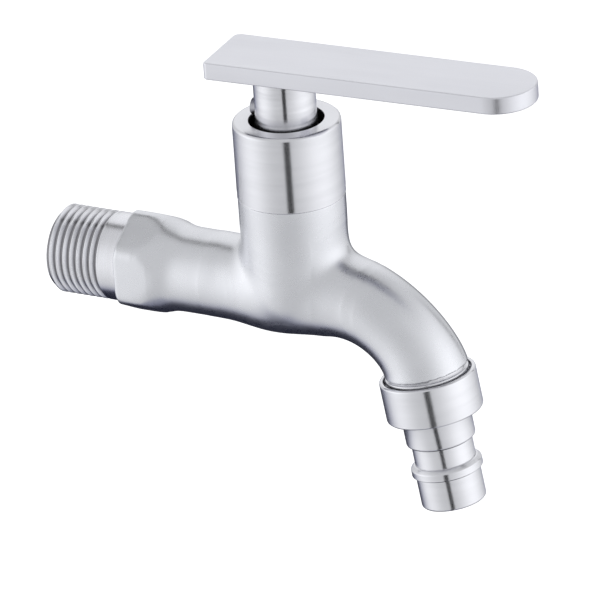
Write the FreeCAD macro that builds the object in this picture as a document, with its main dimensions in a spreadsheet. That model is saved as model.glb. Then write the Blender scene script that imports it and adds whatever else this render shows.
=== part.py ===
import FreeCAD, Part
import math
import os
import re

# Outdoor wall tap with a quarter-turn handle and a screwed-on hose tail.
# Frame: origin at the centre of the inlet shoulder, +X from the wall to the spout, +Z up the tower.
# Sizes are in millimetres and degrees. Heights are above the inlet's axis.
# Distances named ahead are counted from the tower's axis towards the spout.
# Depths at the outlet are counted from the nut's upper rim, away from the spout.

SIZES = (
    ("fit_gap", 0.06),
    ("free_gap", 0.30),
    ("reach", 43.4),
    # inlet thread, half inch pipe size
    ("pipe_thread_radius", 10.478),
    ("pipe_thread_depth", 1.162),
    ("pipe_pitch", 1.814),
    ("pipe_crest_width", 0.34),
    ("pipe_root_width", 0.435),
    ("pipe_groove_over", 1.15),
    ("thread_lead", 1.0),
    ("inlet_length", 19.1),
    ("inlet_neck", 5.0),
    ("inlet_bore_radius", 6.5),
    # hexagonal collar behind the shoulder
    ("collar_land", 0.82),
    ("collar_corner", 2.12),
    ("collar_edge", 0.8),
    ("collar_length", 7.0),
    ("collar_taper", 7.0),
    ("collar_drop", 0.2),
    # cast tube, belly and spout
    ("tube_radius", 10.2),
    ("tube_drop", 0.45),
    ("belly_radius", 11.42),
    ("belly_behind", 4.0),
    ("belly_back", 14.0),
    ("front_radius", 10.57),
    ("front_ahead", 9.0),
    ("front_pull", 13.56),
    ("bend_radius", 9.02),
    ("fall_radius", 9.1),
    ("outlet_pull", 6.0),
    ("outlet_step", 0.78),
    ("outlet_ahead", 32.9),
    ("outlet_drop", 17.43),
    ("outlet_lean", 9.1),
    ("outlet_rim_above", 0.9),
    ("spout_wall", 2.8),
    # tower
    ("tower_wall", 2.15),
    ("tower_top", 23.6),
    ("tower_foot", 2.0),
    ("tower_blend", 3.6),
    # passages in the body
    ("seat_level", 3.0),
    ("seat_hole_radius", 4.6),
    ("inlet_bore_gap", 12.0),
    ("under_passage_radius", 4.4),
    ("under_passage_drop", 4.6),
    ("under_passage_ahead", 4.6),
    ("chamber_step", 0.48),
    ("port_radius", 4.0),
    ("port_level", 7.4),
    ("port_behind_wall", 5.0),
    ("port_end_radius", 5.2),
    ("port_end_level", 3.0),
    ("port_end_ahead", 13.6),
    ("port_start_slope", 20.0),
    ("port_end_slope", 38.0),
    ("way_start", 0.42),
    # outlet thread
    ("outlet_thread_start", 1.2),
    ("outlet_thread_length", 4.3),
    ("outlet_seat_gap", 0.2),
    # headwork
    ("chamber_gap", 1.25),
    ("barrel_wall", 1.15),
    ("barrel_bottom", 4.4),
    ("headwork_depth", 8.0),
    ("cavity_roof", 0.3),
    ("relief_step", 0.18),
    ("relief_height", 1.6),
    ("flange_height", 1.9),
    ("hexagon_room", 0.57),
    ("hexagon_height", 5.8),
    ("upper_radius", 9.0),
    ("upper_height", 3.8),
    ("window_width", 9.0),
    ("window_height", 3.4),
    ("seal_section", 0.55),
    # spindle
    ("spindle_radius", 5.0),
    ("drive_room", 0.2),
    ("drive_waist", 8.0),
    ("tang_width", 3.0),
    ("tang_height", 1.1),
    ("washer_thickness", 0.9),
    ("lower_groove_height", 3.9),
    ("upper_groove_height", 7.7),
    ("clip_reach", 1.2),
    ("clip_thickness", 0.8),
    ("clip_gap_angle", 50.0),
    ("clip_groove_depth", 0.7),
    ("spline_step", 1.0),
    ("spline_depth", 0.45),
    ("spline_teeth", 20.0),
    ("spline_mouth", 0.4),
    # ceramic discs and seat seal
    ("disc_room", 0.1),
    ("disc_thickness", 2.8),
    ("disc_rim", 1.6),
    ("disc_hole_inner", 2.0),
    ("disc_hole_angle", 80.0),
    ("fixed_hole_start", 50.0),
    ("disc_ear_width", 3.0),
    ("disc_ear_inset", 0.45),
    ("seat_seal_height", 2.6),
    # cap
    ("cap_over", 0.11),
    ("cap_height", 18.9),
    ("cap_hole_gap", 1.68),
    ("cap_edge_round", 0.94),
    ("cap_wall", 1.2),
    ("cap_room", 0.09),
    ("cap_roof", 2.0),
    # handle
    ("handle_yaw", 3.3),
    ("hub_wall", 1.62),
    ("hub_narrowing", 0.12),
    ("hub_lift", 1.5),
    ("hub_height", 17.4),
    ("insert_wall", 1.6),
    ("insert_length", 13.2),
    ("spigot_radius", 4.0),
    ("spigot_height", 1.8),
    ("lever_thickness", 4.2),
    ("lever_width", 18.66),
    ("lever_back", 16.2),
    ("lever_front", 54.7),
    ("lever_corner_round", 1.0),
    ("lever_edge_round", 0.35),
    ("grub_radius", 2.0),
    ("grub_height", 8.0),
    ("grub_proud", 1.1),
    ("grub_socket_flats", 2.0),
    ("grub_socket_depth", 1.6),
    # union nut
    ("nut_wall", 1.02),
    ("nut_lip", 1.7),
    ("nut_edge_round", 0.5),
    # hose tail
    ("tail_flange_inset", 0.28),
    ("tail_flange_height", 1.5),
    ("tail_step_radius", 8.23),
    ("tail_step_length", 6.9),
    ("tail_waist_radius", 7.22),
    ("tail_waist_length", 5.0),
    ("tail_ring_radius", 8.45),
    ("tail_ring_height", 2.65),
    ("tail_ring_bevel", 0.9),
    ("tail_end_radius", 7.68),
    ("tail_end_length", 7.89),
    ("tail_bore_radius", 5.8),
    ("tail_edge_round", 0.6),
    ("outlet_washer_inner", 6.2),
    ("outlet_washer_thickness", 2.1),
)

# Sizes and levels that follow from the ones above.
DERIVED = (
    ("pipe_root_radius", "pipe_thread_radius - pipe_thread_depth"),
    ("collar_flats", "2 * (pipe_thread_radius + collar_land)"),
    ("collar_radius", "pipe_thread_radius + collar_corner"),
    ("outlet_radius", "pipe_root_radius + outlet_step"),
    ("tower_radius", "pipe_thread_radius + tower_wall"),
    ("chamber_radius", "pipe_thread_radius - chamber_step"),
    ("barrel_radius", "chamber_radius - chamber_gap"),
    ("barrel_bore_radius", "barrel_radius - barrel_wall"),
    ("barrel_top", "tower_top - headwork_depth"),
    ("cavity_top", "barrel_top - cavity_roof"),
    ("relief_radius", "pipe_root_radius + relief_step"),
    ("cap_radius", "tower_radius + cap_over"),
    ("cap_top", "tower_top + cap_height"),
    ("flange_radius", "cap_radius - cap_wall - cap_room"),
    ("hexagon_radius", "cap_radius - cap_wall - hexagon_room"),
    ("headwork_top", "tower_top + flange_height + hexagon_height + upper_height"),
    ("drive_radius", "barrel_bore_radius - drive_room"),
    ("drive_bottom", "seat_level + seat_seal_height + 2 * disc_thickness + fit_gap"),
    ("drive_top", "cavity_top - washer_thickness - free_gap"),
    ("lower_groove_level", "cavity_top + lower_groove_height"),
    ("upper_groove_level", "cavity_top + upper_groove_height"),
    ("clip_radius", "spindle_radius + clip_reach"),
    ("spline_radius", "spindle_radius - spline_step"),
    ("disc_radius", "barrel_bore_radius - disc_room"),
    ("disc_hole_radius", "disc_radius - disc_rim"),
    ("disc_ear_reach", "barrel_radius - disc_ear_inset"),
    ("insert_radius", "spline_radius + insert_wall"),
    ("hub_radius_low", "insert_radius + hub_wall"),
    ("hub_radius_top", "hub_radius_low - hub_narrowing"),
    ("hub_bottom", "headwork_top + hub_lift"),
    ("spline_bottom", "hub_bottom + spline_mouth"),
    ("spindle_top", "hub_bottom + insert_length"),
    ("grub_level", "hub_bottom + grub_height"),
    ("lever_top", "hub_bottom + hub_height + lever_thickness"),
    ("cap_hole_radius", "hub_radius_low + cap_hole_gap"),
    ("nut_radius", "pipe_thread_radius + nut_wall"),
    ("tail_flange_radius", "pipe_thread_radius - tail_flange_inset"),
    ("tail_flange_bottom", "outlet_thread_length + outlet_seat_gap + outlet_washer_thickness"),
    ("nut_length", "tail_flange_bottom + tail_flange_height + nut_lip"),
    ("tail_step_end", "nut_length + tail_step_length"),
    ("tail_ring_start", "tail_step_end + tail_waist_length"),
    ("tail_ring_end", "tail_ring_start + tail_ring_height"),
    ("tail_length", "tail_ring_end + tail_end_length"),
)

NAMES = {name for name, value in SIZES + DERIVED}
doc = FreeCAD.newDocument("WallTap")
sheet = doc.addObject("Spreadsheet::Sheet", "Sizes")
for row, (name, value) in enumerate(SIZES, 1):
    sheet.set(f"A{row}", name)
    sheet.set(f"B{row}", str(value))
    sheet.setAlias(f"B{row}", name)
for row, (name, formula) in enumerate(DERIVED, len(SIZES) + 1):
    sheet.set(f"A{row}", name)
    sheet.set(f"B{row}", "=" + formula)
    sheet.setAlias(f"B{row}", name)
doc.recompute()
UP = FreeCAD.Vector(0, 0, 1)
SIDE = FreeCAD.Vector(0, 1, 0)


def size(name):
    """Value of one cell of the sheet."""
    return float(sheet.get(name))


def bind(item, field, text):
    """Ties a property to an expression whose words are names of cells."""
    item.setExpression(field, re.sub(r"[a-z_]+", lambda word: link(word.group()), text))


def link(word):
    """Prefix for a cell's name; other words, such as functions, stay."""
    return "Sizes." + word if word in NAMES else word


def add(kind, name, **fields):
    """New object of the document with each field tied to an expression."""
    item = doc.addObject(kind, name)
    for field, text in fields.items():
        bind(item, field, text)
    return item


def place(item, x="0", z="0", axis=UP, angle="0"):
    """Puts an object at x, z and turns it about an axis."""
    item.Placement = FreeCAD.Placement(FreeCAD.Vector(), FreeCAD.Rotation(axis, 1))
    bind(item, "Placement.Base.x", x)
    bind(item, "Placement.Base.z", z)
    bind(item, "Placement.Rotation.Angle", angle)
    return item


def drum(name, radius, low, high):
    """Upright cylinder between two levels."""
    item = add("Part::Cylinder", name, Radius=radius, Height=f"({high}) - ({low})")
    bind(item, "Placement.Base.z", low)
    return item


def taper(name, low_radius, high_radius, low, high):
    """Upright cone between two levels."""
    item = add("Part::Cone", name, Radius1=low_radius, Radius2=high_radius, Height=f"({high}) - ({low})")
    bind(item, "Placement.Base.z", low)
    return item


def block(name, length, width, low, high):
    """Box centred on the axis between two levels."""
    item = add("Part::Box", name, Length=length, Width=width, Height=f"({high}) - ({low})")
    bind(item, "Placement.Base.x", f"-({length}) / 2")
    bind(item, "Placement.Base.y", f"-({width}) / 2")
    bind(item, "Placement.Base.z", low)
    return item


def hexagon(name, corner_radius, low, high):
    """Upright hexagonal bar between two levels."""
    item = doc.addObject("Part::Prism", name)
    item.Polygon = 6
    bind(item, "Circumradius", corner_radius)
    bind(item, "Height", f"({high}) - ({low})")
    bind(item, "Placement.Base.z", low)
    return item


def hoop(name, middle, section, level):
    """Round ring lying at a level."""
    item = add("Part::Torus", name, Radius1=middle, Radius2=section)
    bind(item, "Placement.Base.z", level)
    return item


def fuse(name, *pieces):
    item = doc.addObject("Part::MultiFuse", name)
    item.Shapes = list(pieces)
    item.Refine = True
    return item


def cut(name, base, *tools):
    item = doc.addObject("Part::Cut", name)
    item.Base = base
    item.Tool = tools[0] if len(tools) == 1 else fuse(name + "Tools", *tools)
    return item


def lying(item, x, z="0"):
    """Lays an upright object along +X, with its foot at x."""
    return place(item, x, z, SIDE, "90")


def is_rim(edge, radius, level):
    """True for a circular edge of this radius round the object's own axis at this level."""
    curve = edge.Curve
    if not isinstance(curve, Part.Circle) or abs(curve.Radius - radius) > 1e-3:
        return False
    return abs(curve.Center.z - level) < 1e-3 and math.hypot(curve.Center.x, curve.Center.y) < 1e-3


def soften(name, base, rims):
    """Rounds circular edges, each given as radius, level and rounding."""
    doc.recompute()
    item = doc.addObject("Part::Fillet", name)
    item.Base = base
    edges = []
    for radius, level, rounding in rims:
        for number, edge in enumerate(base.Shape.Edges, 1):
            if is_rim(edge, radius, level):
                edges.append((number, rounding, rounding))
    item.Edges = edges
    return item


def ring_of(name, radius, ahead, drop, slope="0"):
    """Circle across the casting's centre line, at a distance ahead of the tower, sloping down."""
    item = add("Part::Circle", name, Radius=radius)
    return place(item, f"reach + ({ahead})", f"-({drop})", SIDE, f"90 deg + ({slope}) * 1 deg")


def mix(share, values):
    """Expression of a cubic curve's value at a share of its length, from its four control values."""
    rest = 1 - share
    weights = (rest**3, 3 * rest**2 * share, 3 * rest * share**2, share**3)
    return " + ".join(f"{weight:.6f} * ({value})" for weight, value in zip(weights, values))


def steps(values):
    """Expressions of the differences between neighbouring control values."""
    return [f"({after}) - ({before})" for before, after in zip(values, values[1:])]


def rate(share, values):
    """Expression of a cubic curve's rate of change at a share of its length."""
    rest = 1 - share
    weights = (rest**2, 2 * rest * share, share**2)
    return " + ".join(f"{weight:.6f} * ({step})" for weight, step in zip(weights, steps(values)))


def spout_ring(name, share, thinner="0"):
    """Circle across the spout at a share of its curve, from its front start to its rim."""
    rim_ahead = "outlet_ahead - outlet_rim_above * sin(outlet_lean)"
    rim_drop = "outlet_drop - outlet_rim_above * cos(outlet_lean)"
    ahead = (
        "front_ahead",
        "front_ahead + front_pull",
        f"{rim_ahead} - outlet_pull * sin(outlet_lean)",
        rim_ahead,
    )
    drop = ("tube_drop", "tube_drop", f"{rim_drop} - outlet_pull * cos(outlet_lean)", rim_drop)
    radius = ("front_radius", "bend_radius", "fall_radius", "outlet_radius")
    slope = f"atan2({rate(share, drop)}; {rate(share, ahead)}) / 1 deg"
    return ring_of(name, f"{mix(share, radius)} - ({thinner})", mix(share, ahead), mix(share, drop), slope)


def loft(name, sections):
    item = doc.addObject("Part::Loft", name)
    item.Sections = sections
    item.Solid = True
    return item


def pipe_groove(name, low, high):
    """Helical groove of the pipe thread round an upright axis, between two levels."""
    coil = add("Part::Helix", name + "Coil", Pitch="pipe_pitch", Radius="pipe_root_radius")
    bind(coil, "Height", f"({high}) - ({low})")
    profile = doc.addObject("Part::Feature", name + "Profile")
    half_root = size("pipe_root_width") / 2
    half_crest = (size("pipe_pitch") - size("pipe_crest_width")) / 2
    inner = size("pipe_root_radius")
    depth = size("pipe_thread_radius") - inner
    over = size("pipe_groove_over")
    half_over = half_root + (half_crest - half_root) * over
    corners = [
        FreeCAD.Vector(inner, 0, -half_root),
        FreeCAD.Vector(inner + depth * over, 0, -half_over),
        FreeCAD.Vector(inner + depth * over, 0, half_over),
        FreeCAD.Vector(inner, 0, half_root),
    ]
    profile.Shape = Part.makePolygon(corners + corners[:1])
    groove = doc.addObject("Part::Sweep", name)
    groove.Sections = [profile]
    groove.Spine = (coil, ["Edge1"])
    groove.Solid = True
    groove.Frenet = True
    bind(groove, "Placement.Base.z", low)
    return groove


def pipe_thread(name, low, high, groove_low, groove_high, tip):
    """Threaded shank between two levels, grooved between two others and chamfered at its tip."""
    grooved = cut(
        name + "Grooved",
        drum(name + "Shank", "pipe_thread_radius", low, high),
        pipe_groove(name + "Groove", groove_low, groove_high),
    )
    inward = tip == low
    start = tip if inward else f"{tip} - thread_lead"
    radii = ["pipe_root_radius", "pipe_thread_radius"]
    if not inward:
        radii.reverse()
    chamfer = cut(
        name + "Chamfer",
        drum(name + "ChamferOuter", "pipe_thread_radius + 1", start, f"{start} + thread_lead"),
        taper(name + "ChamferInner", *radii, start, f"{start} + thread_lead"),
    )
    return cut(name + "Thread", grooved, chamfer)


def tap_body():
    """Casting with the inlet thread, the collar, the tower, the spout and all its passages."""
    # the tube swells to a belly under the tower, and the spout falls in one curve
    count = 4
    rings = []
    for number in range(count):
        swell = (1 - math.cos(math.pi * number / count)) / 2
        radius = f"tube_radius + (belly_radius - tube_radius) * {swell:.6f}"
        ahead = f"-belly_behind - belly_back * {1 - number / count}"
        rings.append(ring_of(f"Swell{number}", radius, ahead, "tube_drop"))
    for number in range(count):
        fall = (1 - math.cos(math.pi * number / count)) / 2
        radius = f"belly_radius - (belly_radius - front_radius) * {fall:.6f}"
        ahead = f"-belly_behind + (front_ahead + belly_behind) * {number / count}"
        rings.append(ring_of(f"Belly{number}", radius, ahead, "tube_drop"))
    bends = 8
    for number in range(bends + 1):
        rings.append(spout_ring(f"Spout{number}", number / bends))
    tube = drum("TubeStraight", "tube_radius", "collar_length / 2", "reach - belly_behind - belly_back")
    lying(tube, "collar_length / 2", "-tube_drop")
    tower = drum("Tower", "tower_radius", "tower_foot", "tower_top")
    foot = add("Part::Sphere", "TowerFoot", Radius="tower_radius")
    bind(foot, "Placement.Base.z", "tower_foot")
    column = place(fuse("TowerColumn", tower, foot), "reach")
    casting = fuse("Casting", loft("CastTube", rings), column)
    # the corner between tower and tube is softened
    doc.recompute()
    blend = doc.addObject("Part::Fillet", "CastingBlend")
    blend.Base = casting
    corner = []
    for number, edge in enumerate(casting.Shape.Edges, 1):
        if is_corner(edge):
            corner.append((number, size("tower_blend"), size("tower_blend")))
    blend.Edges = corner
    # hexagonal collar, turned at both ends
    taper_end = "collar_length + collar_taper"
    turned = fuse(
        "CollarTurned",
        taper("CollarEdge", "collar_radius - collar_edge", "collar_radius", "0", "collar_edge"),
        drum("CollarBand", "collar_radius", "collar_edge", "collar_length"),
        taper("CollarTaper", "collar_radius", "tube_radius - collar_drop", "collar_length", taper_end),
    )
    collar = doc.addObject("Part::Common", "Collar")
    collar.Base = turned
    collar.Tool = hexagon("CollarHexagon", "collar_flats / 2 / cos(30)", "0", taper_end)
    lying(collar, "0", "-collar_drop")
    # inlet and outlet threads
    shank_end = "inlet_length + collar_edge"
    grooves_end = "inlet_length - inlet_neck"
    inlet = lying(
        pipe_thread("Inlet", "0", shank_end, "-pipe_pitch", grooves_end, "0"),
        "-inlet_length",
    )
    root_end = "outlet_thread_start + thread_lead / 2"
    stub = fuse(
        "OutletStub",
        drum("OutletRoot", "pipe_root_radius", "-2 * outlet_rim_above", root_end),
        pipe_thread(
            "Outlet",
            "outlet_thread_start",
            "outlet_thread_length",
            "outlet_thread_start + pipe_pitch / 4",
            "outlet_thread_length + pipe_pitch",
            "outlet_thread_length",
        ),
    )
    outlet = at_outlet(stub)
    outside = fuse("BodyOutside", blend, tube, collar, inlet, outlet)
    # passages
    bore = drum("InletBore", "inlet_bore_radius", "-1", "inlet_length + reach - inlet_bore_gap")
    lying(bore, "-inlet_length")
    under = drum("UnderPassage", "under_passage_radius", "0", "inlet_bore_gap + 1 + under_passage_ahead")
    lying(under, "reach - inlet_bore_gap - 1", "-under_passage_drop")
    seat = drum("SeatHole", "seat_hole_radius", "-under_passage_drop", "seat_level + 1")
    chamber = drum("Chamber", "chamber_radius", "seat_level", "barrel_top")
    threaded = drum("TowerThread", "pipe_thread_radius + fit_gap", "barrel_top - free_gap", "tower_top + 1")
    tower_mouth = taper(
        "TowerMouth",
        "pipe_thread_radius + fit_gap",
        "flange_radius - free_gap",
        "tower_top - relief_height",
        "tower_top",
    )
    upright = place(fuse("UprightPassages", seat, chamber, threaded, tower_mouth), "reach")
    way = [
        ring_of("PortStart", "port_radius", "port_behind_wall", "-port_level", "port_start_slope"),
        ring_of("PortEnd", "port_end_radius", "port_end_ahead", "-port_end_level", "port_end_slope"),
    ]
    for number in range(4):
        share = 1 - (1 - size("way_start")) * (3 - number) / 3
        way.append(spout_ring(f"Way{number}", share, "spout_wall"))
    mouth_radius = "outlet_radius - spout_wall + fit_gap"
    mouth = drum("OutletWay", mouth_radius, "0", "outlet_rim_above + outlet_thread_length + 2")
    at_outlet(mouth, "-outlet_rim_above - 1")
    return cut("tap_body", outside, bore, under, upright, loft("Waterway", way), mouth)


def is_corner(edge):
    """True for the line where the tower's side meets the tube."""
    box = edge.BoundBox
    off_axis = abs(box.Center.x - size("reach"))
    inside = off_axis < size("tower_radius") and box.DiagonalLength > size("tower_foot")
    touching = False
    for vertex in edge.Vertexes:
        out = math.hypot(vertex.X - size("reach"), vertex.Y)
        touching = touching or abs(out - size("tower_radius")) < size("free_gap") / 2
    return inside and touching and size("tower_foot") < box.ZMax < size("tower_top") - 1


def at_outlet(item, depth="0"):
    """Puts an object that stands on z = 0 at the nut's upper rim, pointing out of the spout."""
    return place(
        item,
        f"reach + outlet_ahead + ({depth}) * sin(outlet_lean)",
        f"-outlet_drop - ({depth}) * cos(outlet_lean)",
        SIDE,
        "180 - outlet_lean",
    )


def headwork_body():
    """Turned housing of the spindle and the discs, screwed into the tower."""
    thread_top = "tower_top - relief_height"
    hexagon_low = "tower_top + flange_height"
    upper_low = f"{hexagon_low} + hexagon_height"
    outside = fuse(
        "HeadworkOutside",
        drum("HeadworkBarrel", "barrel_radius", "barrel_bottom", "barrel_top"),
        drum("HeadworkThread", "pipe_thread_radius", "barrel_top", thread_top),
        drum("HeadworkRelief", "relief_radius", thread_top, "tower_top"),
        drum("HeadworkFlange", "flange_radius", "tower_top", hexagon_low),
        hexagon("HeadworkHexagon", "hexagon_radius", hexagon_low, upper_low),
        drum("HeadworkUpper", "upper_radius", upper_low, "headwork_top"),
    )
    groove_low = "tower_top + flange_height / 2 - seal_section"
    groove = cut(
        "CapRingGroove",
        drum("CapRingGrooveOuter", "flange_radius + 1", groove_low, f"{groove_low} + 2 * seal_section"),
        drum(
            "CapRingGrooveInner",
            "flange_radius - 2 * seal_section",
            f"{groove_low} - 1",
            f"{groove_low} + 2 * seal_section + 1",
        ),
    )
    return cut(
        "headwork_body",
        outside,
        drum("HeadworkCavity", "barrel_bore_radius", "barrel_bottom - 1", "cavity_top"),
        drum("HeadworkBore", "spindle_radius + fit_gap", "cavity_top - 1", "headwork_top + 1"),
        block(
            "HeadworkWindows",
            "window_width",
            "2 * barrel_radius + 2",
            "drive_bottom",
            "drive_bottom + window_height",
        ),
        block(
            "HeadworkSlot",
            "2 * barrel_radius + 2",
            "disc_ear_width + 2 * fit_gap",
            "barrel_bottom - 1",
            "seat_level + seat_seal_height + disc_thickness + fit_gap",
        ),
        groove,
    )


def headwork_seal():
    """O-ring in the mouth of the tower."""
    level = "tower_top - seal_section - fit_gap"
    return hoop("headwork_seal", "relief_radius + seal_section + fit_gap", "seal_section", level)


def cap_ring():
    """O-ring round the flange, inside the cap."""
    middle = "flange_radius - seal_section + fit_gap / 2"
    return hoop("cap_ring", middle, "seal_section - fit_gap / 4", "tower_top + flange_height / 2")


def star(name, radius, depth, teeth, low, high):
    """Splined bar: a fluted outline raised between two levels."""
    points = []
    for number in range(2 * teeth):
        reach = radius if number % 2 == 0 else radius - depth
        angle = math.pi * number / teeth
        points.append(FreeCAD.Vector(reach * math.cos(angle), reach * math.sin(angle), low))
    outline = Part.Face(Part.makePolygon(points + points[:1]))
    item = doc.addObject("Part::Feature", name)
    item.Shape = outline.extrude(UP * (high - low))
    return item


def spindle():
    """Shaft from the drive disc on the ceramic discs to the spline under the handle."""
    clip_low = "headwork_top + fit_gap"
    drive = doc.addObject("Part::Common", "SpindleDrive")
    drive.Base = drum("DriveDisc", "drive_radius", "drive_bottom", "drive_top")
    drive.Tool = block("DriveWaist", "2 * drive_radius", "drive_waist", "drive_bottom", "drive_top")
    tang_low = "drive_bottom - tang_height"
    bar = fuse(
        "SpindleBar",
        drive,
        block("DriveTang", "2 * disc_hole_radius", "tang_width", tang_low, "drive_bottom"),
        drum("SpindleShaft", "spindle_radius", "drive_bottom", "spline_bottom"),
        star(
            "SpindleSpline",
            size("spline_radius"),
            size("spline_depth"),
            int(size("spline_teeth")),
            size("spline_bottom"),
            size("spindle_top"),
        ),
    )
    grooves = []
    for which in ("lower", "upper"):
        low = f"{which}_groove_level - seal_section - fit_gap"
        high = f"{which}_groove_level + seal_section + fit_gap"
        grooves.append(shaft_groove(which.title() + "Groove", "2 * seal_section", low, high))
    clip_high = f"{clip_low} + clip_thickness + 2 * fit_gap"
    grooves.append(shaft_groove("ClipGroove", "clip_groove_depth", clip_low, clip_high))
    return cut("spindle", bar, *grooves)


def shaft_groove(name, depth, low, high):
    """Ring cut out of the spindle's shaft between two levels."""
    outer = drum(name + "Outer", "spindle_radius + 1", low, high)
    inner = drum(name + "Inner", f"spindle_radius - {depth}", f"{low} - 1", f"{high} + 1")
    return cut(name, outer, inner)


def spindle_seal(name):
    """O-ring for one groove of the spindle, lying on z = 0."""
    return hoop(name, "spindle_radius - seal_section + fit_gap / 2", "seal_section - fit_gap / 4", "0")


def thrust_washer():
    """Glide washer between the drive disc and the roof of the cavity."""
    top = "cavity_top"
    low = "cavity_top - washer_thickness"
    return cut(
        "thrust_washer",
        drum("ThrustWasherOuter", "barrel_bore_radius - fit_gap", low, top),
        drum("ThrustWasherInner", "spindle_radius + fit_gap", f"{low} - 1", f"{top} + 1"),
    )


def spindle_clip():
    """Open ring in the groove above the headwork."""
    low = "headwork_top + 2 * fit_gap"
    high = f"{low} + clip_thickness"
    gap = drum("ClipGap", "clip_radius + 1", f"{low} - 1", f"{high} + 1")
    bind(gap, "Angle", "clip_gap_angle")
    return cut(
        "spindle_clip",
        drum("ClipOuter", "clip_radius", low, high),
        drum("ClipInner", "spindle_radius - clip_groove_depth", f"{low} - 1", f"{high} + 1"),
        gap,
    )


def disc_holes(name, low, high, start):
    """Two opposite sector holes of a ceramic disc, the first starting at an angle."""
    sectors = []
    for number, turn in enumerate((start, start + " + 180")):
        sector = drum(f"{name}Sector{number}", "disc_hole_radius", f"{low} - 1", f"{high} + 1")
        bind(sector, "Angle", "disc_hole_angle")
        sectors.append(place(sector, "0", f"{low} - 1", UP, turn))
    core = drum(name + "Core", "disc_hole_inner", f"{low} - 2", f"{high} + 2")
    return cut(name + "Holes", fuse(name + "Sectors", *sectors), core)


def fixed_disc():
    """Lower ceramic disc, kept from turning by an ear on each side."""
    low = "seat_level + seat_seal_height"
    high = f"{low} + disc_thickness"
    plate = fuse(
        "FixedPlate",
        drum("FixedRound", "disc_radius", low, high),
        block("FixedEars", "2 * disc_ear_reach", "disc_ear_width", low, high),
    )
    return cut("fixed_disc", plate, disc_holes("Fixed", low, high, "fixed_hole_start"))


def moving_disc():
    """Upper ceramic disc, turned by the spindle's tang."""
    low = "seat_level + seat_seal_height + disc_thickness"
    high = f"{low} + disc_thickness"
    slot = block(
        "MovingSlot",
        "2 * disc_hole_radius + 2 * fit_gap",
        "tang_width + 2 * fit_gap",
        f"{high} - tang_height - fit_gap",
        f"{high} + 1",
    )
    return cut(
        "moving_disc",
        drum("MovingRound", "disc_radius", low, high),
        disc_holes("Moving", low, high, "fixed_hole_start + 90"),
        slot,
    )


def seat_seal():
    """Rubber ring between the seat in the body and the fixed disc."""
    top = "seat_level + seat_seal_height"
    return cut(
        "seat_seal",
        drum("SeatSealOuter", "disc_radius", "seat_level", top),
        drum("SeatSealInner", "disc_hole_radius", "seat_level - 1", f"{top} + 1"),
    )


def cap():
    """Turned shroud, screwed on the headwork by an inner web."""
    web_low = "tower_top + flange_height + hexagon_height + free_gap"
    web_high = "headwork_top - free_gap"
    roof_low = "cap_top - cap_roof"
    shell = soften(
        "CapShell",
        drum("CapBlank", "cap_radius", "tower_top", "cap_top"),
        [(size("cap_radius"), size("cap_top"), size("cap_edge_round"))],
    )
    return cut(
        "cap",
        shell,
        drum("CapLowerRoom", "cap_radius - cap_wall", "tower_top - 1", web_low),
        drum("CapWebHole", "upper_radius + fit_gap", f"{web_low} - 1", f"{web_high} + 1"),
        drum("CapUpperRoom", "cap_radius - cap_wall", web_high, roof_low),
        drum("CapHole", "cap_hole_radius", f"{roof_low} - 1", "cap_top + 1"),
    )


def grub_room(name):
    """Sideways hole for the grub screw, from behind the hub to the spindle."""
    item = drum(name, "grub_radius", "0", "hub_radius_low + 2")
    return place(item, "0", "grub_level", SIDE, "-90")


def handle_hub():
    """Slightly tapered neck with a spigot that is pressed into the lever."""
    lever_under = "lever_top - lever_thickness"
    insert_top = "hub_bottom + insert_length"
    return cut(
        "handle_hub",
        fuse(
            "HubOutside",
            taper("HubNeck", "hub_radius_low", "hub_radius_top", "hub_bottom", lever_under),
            drum("HubSpigot", "spigot_radius", lever_under, f"{lever_under} + spigot_height"),
        ),
        drum("HubBore", "insert_radius", "hub_bottom - 1", f"{insert_top} + free_gap"),
        grub_room("HubGrubHole"),
    )


def spline_insert():
    """Plastic sleeve with the spline's counterpart, pressed into the hub."""
    star_hole = star(
        "InsertSpline",
        size("spline_radius") + size("fit_gap"),
        size("spline_depth"),
        int(size("spline_teeth")),
        size("hub_bottom"),
        size("hub_bottom") + size("insert_length") + 1,
    )
    return cut(
        "spline_insert",
        drum("InsertOutside", "insert_radius", "hub_bottom + free_gap", "hub_bottom + insert_length"),
        star_hole,
        drum("InsertMouth", "spindle_radius + fit_gap", "hub_bottom", "spline_bottom + fit_gap"),
        grub_room("InsertGrubHole"),
    )


def grub_screw():
    """Screw with a hexagon socket that pins the hub to the spindle."""
    inner = "spline_radius + fit_gap"
    outer = "hub_radius_low + grub_proud"
    socket = hexagon(
        "GrubSocket", "grub_socket_flats / 2 / cos(30)", f"{outer} - grub_socket_depth", f"{outer} + 1"
    )
    return cut("grub_screw", drum("GrubShank", "grub_radius", inner, outer), socket)


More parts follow.
